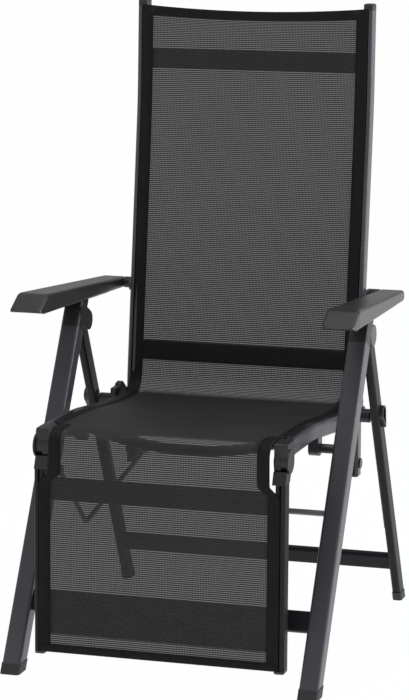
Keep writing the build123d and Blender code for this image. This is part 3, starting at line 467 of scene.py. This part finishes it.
def half_width(y, z):
    """Half of the cloth's width: wide in the grooves, narrow where it crosses a hinge."""
    if y < FOOTREST_REAR_Y:
        wide = 1 - ease(z, *GROOVE_END_Z)
    else:
        wide = ease(y, *GROOVE_START_Y)
    return FREE_HALF + (GROOVE_X - FREE_HALF) * wide


def sag_at(y, z):
    """How far the middle of the cloth hangs in, on the seat and on the back."""
    seat = ease(y, *SEAT_SAG_IN) * (1 - ease(y, *SEAT_SAG_OUT)) if z < BACK_SAG_IN[0] else 0.0
    back = ease(z, *BACK_SAG_IN) * (1 - ease(z, *BACK_SAG_OUT)) if y > SEAT_CORNER_Y else 0.0
    return SEAT_SAG * seat + BACK_SAG * back


def columns(half):
    """Places across the cloth: (x, lift above the cloth, whether it is hem).

    In the grooves the edge turns down; where the edge is free it is rolled in a round binding.
    """
    inner = half - HEM_WIDTH
    free = (GROOVE_X - half) / (GROOVE_X - FREE_HALF)
    held = 1 - free
    low = -EDGE_DROP * held - BINDING * free
    high = HEM_RAISE * held + BINDING * free
    side = HEM_RAISE * SIDE_SHARE * held + BINDING * SIDE_SHARE * free
    left = [
        (-half + 2 * BINDING * free, low, True),
        (-half, low * free, True),
        (-half, side, True),
        (-half + HEM_ROUND, high, True),
        (-half + HEM_FLAT, HEM_RAISE * NEAR_FLAT_SHARE, True),
        (-(half + inner) / 2, HEM_RAISE, True),
        (-inner, HEM_RAISE, True),
    ]
    middle = [(-inner + 2 * inner * i / MIDDLE_COLUMNS, 0.0, False) for i in range(MIDDLE_COLUMNS + 1)]
    right = [(-x, lift, hem) for x, lift, hem in reversed(left)]
    return left + middle + right


def make_piece(name, vertices, faces, uvs, materials, face_materials=None):
    mesh = bpy.data.meshes.new(name)
    mesh.from_pydata(vertices, [], faces)
    layer = mesh.uv_layers.new(name="weave")
    for polygon in mesh.polygons:
        for loop in polygon.loop_indices:
            layer.data[loop].uv = uvs[mesh.loops[loop].vertex_index]
    for material in materials:
        mesh.materials.append(material)
    if face_materials:
        mesh.polygons.foreach_set("material_index", face_materials)
    mesh.polygons.foreach_set("use_smooth", [True] * len(mesh.polygons))
    mesh.update()
    piece = bpy.data.objects.new(name, mesh)
    bpy.context.scene.collection.objects.link(piece)
    return piece


def cloth_piece(name, rows, top_s, materials):
    """A stretch of the sling as one grid, its side hems raised and turned down into the grooves."""
    vertices, uvs, faces, kinds = [], [], [], []
    width = len(columns(GROOVE_X))
    area = 0.0
    for i, (s, place, out) in enumerate(rows):
        half = half_width(place.x, place.y)
        sag = sag_at(place.x, place.y)
        across = columns(half)
        in_top_hem = top_s - s < TOP_HEM
        drop = TOP_SAG * (1 - ease(top_s - s, 0, TOP_SAG_FADE))
        for x, lift, hem in across:
            bow = 1 - (x / half) ** 2
            raised = HEM_RAISE if in_top_hem and not hem else lift
            offset = raised - sag * bow
            vertices.append((x, place.x + out.x * offset, place.y + out.y * offset - drop * bow))
            uvs.append((x, s))
        if i:
            area += 2 * half * (s - rows[i - 1][0])
            for k in range(width - 1):
                a = (i - 1) * width + k
                faces.append((a, a + 1, a + 1 + width, a + width))
                kinds.append(int(across[k][2] or across[k + 1][2] or in_top_hem))
    piece = make_piece(name, vertices, faces, uvs, materials, kinds)
    return piece, area, rows[-1][0] - rows[0][0]


def nearest_row(rows, place):
    return min(range(len(rows)), key=lambda i: (rows[i][1] - Vector(place)).length)


def build_sling(materials):
    """The sling is one cloth, cut into three pieces only where both sides ride on one body."""
    rows = resample(smooth_path(sling_route()), ROW_STEP)
    in_seat = nearest_row(rows, SEAT_CUT)
    in_corner = nearest_row(rows, CORNER_CUT)
    stretches = [
        ("sling_footrest", rows[: in_seat + 1], "footrest_sling", "footrest_frame", "seat_frame",
         FOOT_BEND, "footrest_tube"),
        ("sling_seat", rows[in_seat : in_corner + 1], "seat_sling", "seat_frame", "hinge_bracket",
         SEAT_BEND, "seat_rail"),
        ("sling_back", rows[in_corner:], "back_sling", "hinge_bracket", "backrest",
         BACK_BEND, "back_tube"),
    ]
    for name, part, replaced, first, second, bend, tube in stretches:
        piece, area, length = cloth_piece(name, part, rows[-1][0], materials)
        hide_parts(replaced)
        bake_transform(piece)


def sleeve(name, profile, half, place, hem, body):
    """A closed profile drawn from side to side; `place` turns a profile point into (y, z)."""
    vertices, uvs, faces = [], [], []
    for i in range(LENGTH_STEPS + 1):
        x = -half + 2 * half * i / LENGTH_STEPS
        for point in profile:
            vertices.append((x, *place(point)))
            uvs.append((x, sum(point)))
    count = len(profile)
    for i in range(LENGTH_STEPS):
        for k in range(count):
            a, b = i * count + k, i * count + (k + 1) % count
            faces.append((a, b, b + count, a + count))
    piece = make_piece(name, vertices, faces, uvs, [hem])
    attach(piece, body)
    return piece


def pocket(name, node, half_tall, lean, body, gap, hem):
    """Sewn pocket round a cross bar: flat behind the cloth in front, round the bar behind."""
    low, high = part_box(node)
    centre = (low + high) / 2
    angle = math.radians(lean)
    front = TUBE_HALF_DEPTH + SHEET_LIFT - gap
    bar = (high.z - low.z) / 2 + BAR_CLEAR
    upper = [
        (front, half_tall / 2), (front, half_tall), (front - POCKET_EDGE, half_tall),
        (BAR_NECK, bar + BAR_SWELL), (-POCKET_REAR * REAR_SHARE, bar), (-POCKET_REAR, bar - BAR_ROUND),
    ]
    lower = [(out, -up) for out, up in upper]
    profile = [(front, 0)] + lower + [(-POCKET_REAR, 0)] + upper[::-1]

    def place(point):
        out, up = point
        y = centre.y - math.cos(angle) * out + math.sin(angle) * up
        z = centre.z + math.sin(angle) * out + math.cos(angle) * up
        return y, z

    piece = sleeve(name, profile, POCKET_HALF, place, hem, body)
    piece.modifiers.new("round", "SUBSURF").render_levels = 1


def build_pockets(hem):
    for name, node, half_tall, lean, body, sag_share in POCKETS:
        pocket(name, node, half_tall, lean, body, POCKET_GAP + BACK_SAG * sag_share, hem)


def build_foot_hem(hem):
    """Folded lower edge of the footrest's cloth."""
    low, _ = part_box("footrest_sling")
    y = FOOT_Y - TUBE_HALF_DEPTH - SHEET_LIFT
    profile = [(out * MM, up * MM) for out, up in FOOT_HEM]
    sleeve("foot_hem", profile, FOOT_HEM_HALF, lambda point: (y + point[0], low.z + point[1]), hem,
           "footrest_frame")


def seen_by(tree, kinds):
    """One for a ray of one of these kinds, else zero."""
    path = tree.nodes.new("ShaderNodeLightPath")
    seen = path.outputs[kinds[0]]
    for kind in kinds[1:]:
        seen = math_node(tree, "MAXIMUM", seen, path.outputs[kind])
    return seen


def floor_material():
    """Mostly plain white to the eye, with a share of real shading for the shadow."""
    material, tree, shader = new_material("floor_white")
    shader.inputs["Base Color"].default_value = FLOOR_TONE
    shader.inputs["Roughness"].default_value = FLOOR_ROUGH
    shader.inputs["Specular IOR Level"].default_value = 0.0
    seen = seen_by(tree, ["Is Camera Ray", "Is Glossy Ray", "Is Transmission Ray"])
    glow = tree.nodes.new("ShaderNodeEmission")
    white = math_node(tree, "MULTIPLY", seen, FLOOR_WHITE_SHARE)
    mix_shaders(tree, white, shader.outputs[0], glow.outputs[0])
    return material


def build_floor():
    bpy.ops.mesh.primitive_plane_add(size=FLOOR_SIZE, location=(0, 0, -FLOOR_DROP))
    floor = bpy.context.object
    floor.name = "floor"
    floor.data.materials.append(floor_material())


def build_world():
    """White all round, brighter where it is seen than where it lights."""
    world = bpy.data.worlds.new("studio")
    bpy.context.scene.world = world
    world.use_nodes = True
    tree = world.node_tree
    seen = seen_by(tree, ["Is Camera Ray", "Is Transmission Ray"])
    strength = math_node(tree, "ADD", math_node(tree, "MULTIPLY", seen, WORLD_SEEN), WORLD_LIGHT)
    background = tree.nodes["Background"]
    background.inputs["Color"].default_value = (1, 1, 1, 1)
    link_value(tree, strength, background.inputs["Strength"])


def add_object(name, data, place, target):
    """A light or the camera, aimed at a place."""
    item = bpy.data.objects.new(name, data)
    bpy.context.scene.collection.objects.link(item)
    item.location = place
    item.rotation_euler = (Vector(target) - Vector(place)).to_track_quat("-Z", "Y").to_euler()
    return item


def build_lights():
    for name, place, size, power, colour in LIGHTS:
        data = bpy.data.lights.new(name, "AREA")
        data.shape = "RECTANGLE"
        data.size, data.size_y = size
        data.energy = power
        data.color = colour
        add_object(name, data, place, LIGHT_AIM)


def build_camera():
    data = bpy.data.cameras.new("camera")
    data.sensor_width = SENSOR_SIDE
    data.lens = FOCAL_PIXELS * SENSOR_SIDE / PICTURE_HEIGHT
    bpy.context.scene.camera = add_object("camera", data, CAMERA_PLACE, CAMERA_AIM)


bpy.context.scene.view_settings.view_transform = "Standard"
mesh_cloth = mesh_fabric()
hem_cloth = hem_fabric()
dress_frame(hem_cloth)
build_sling([mesh_cloth, hem_cloth])
build_pockets(hem_cloth)
build_foot_hem(hem_cloth)
build_floor()
build_world()
build_lights()
build_camera()
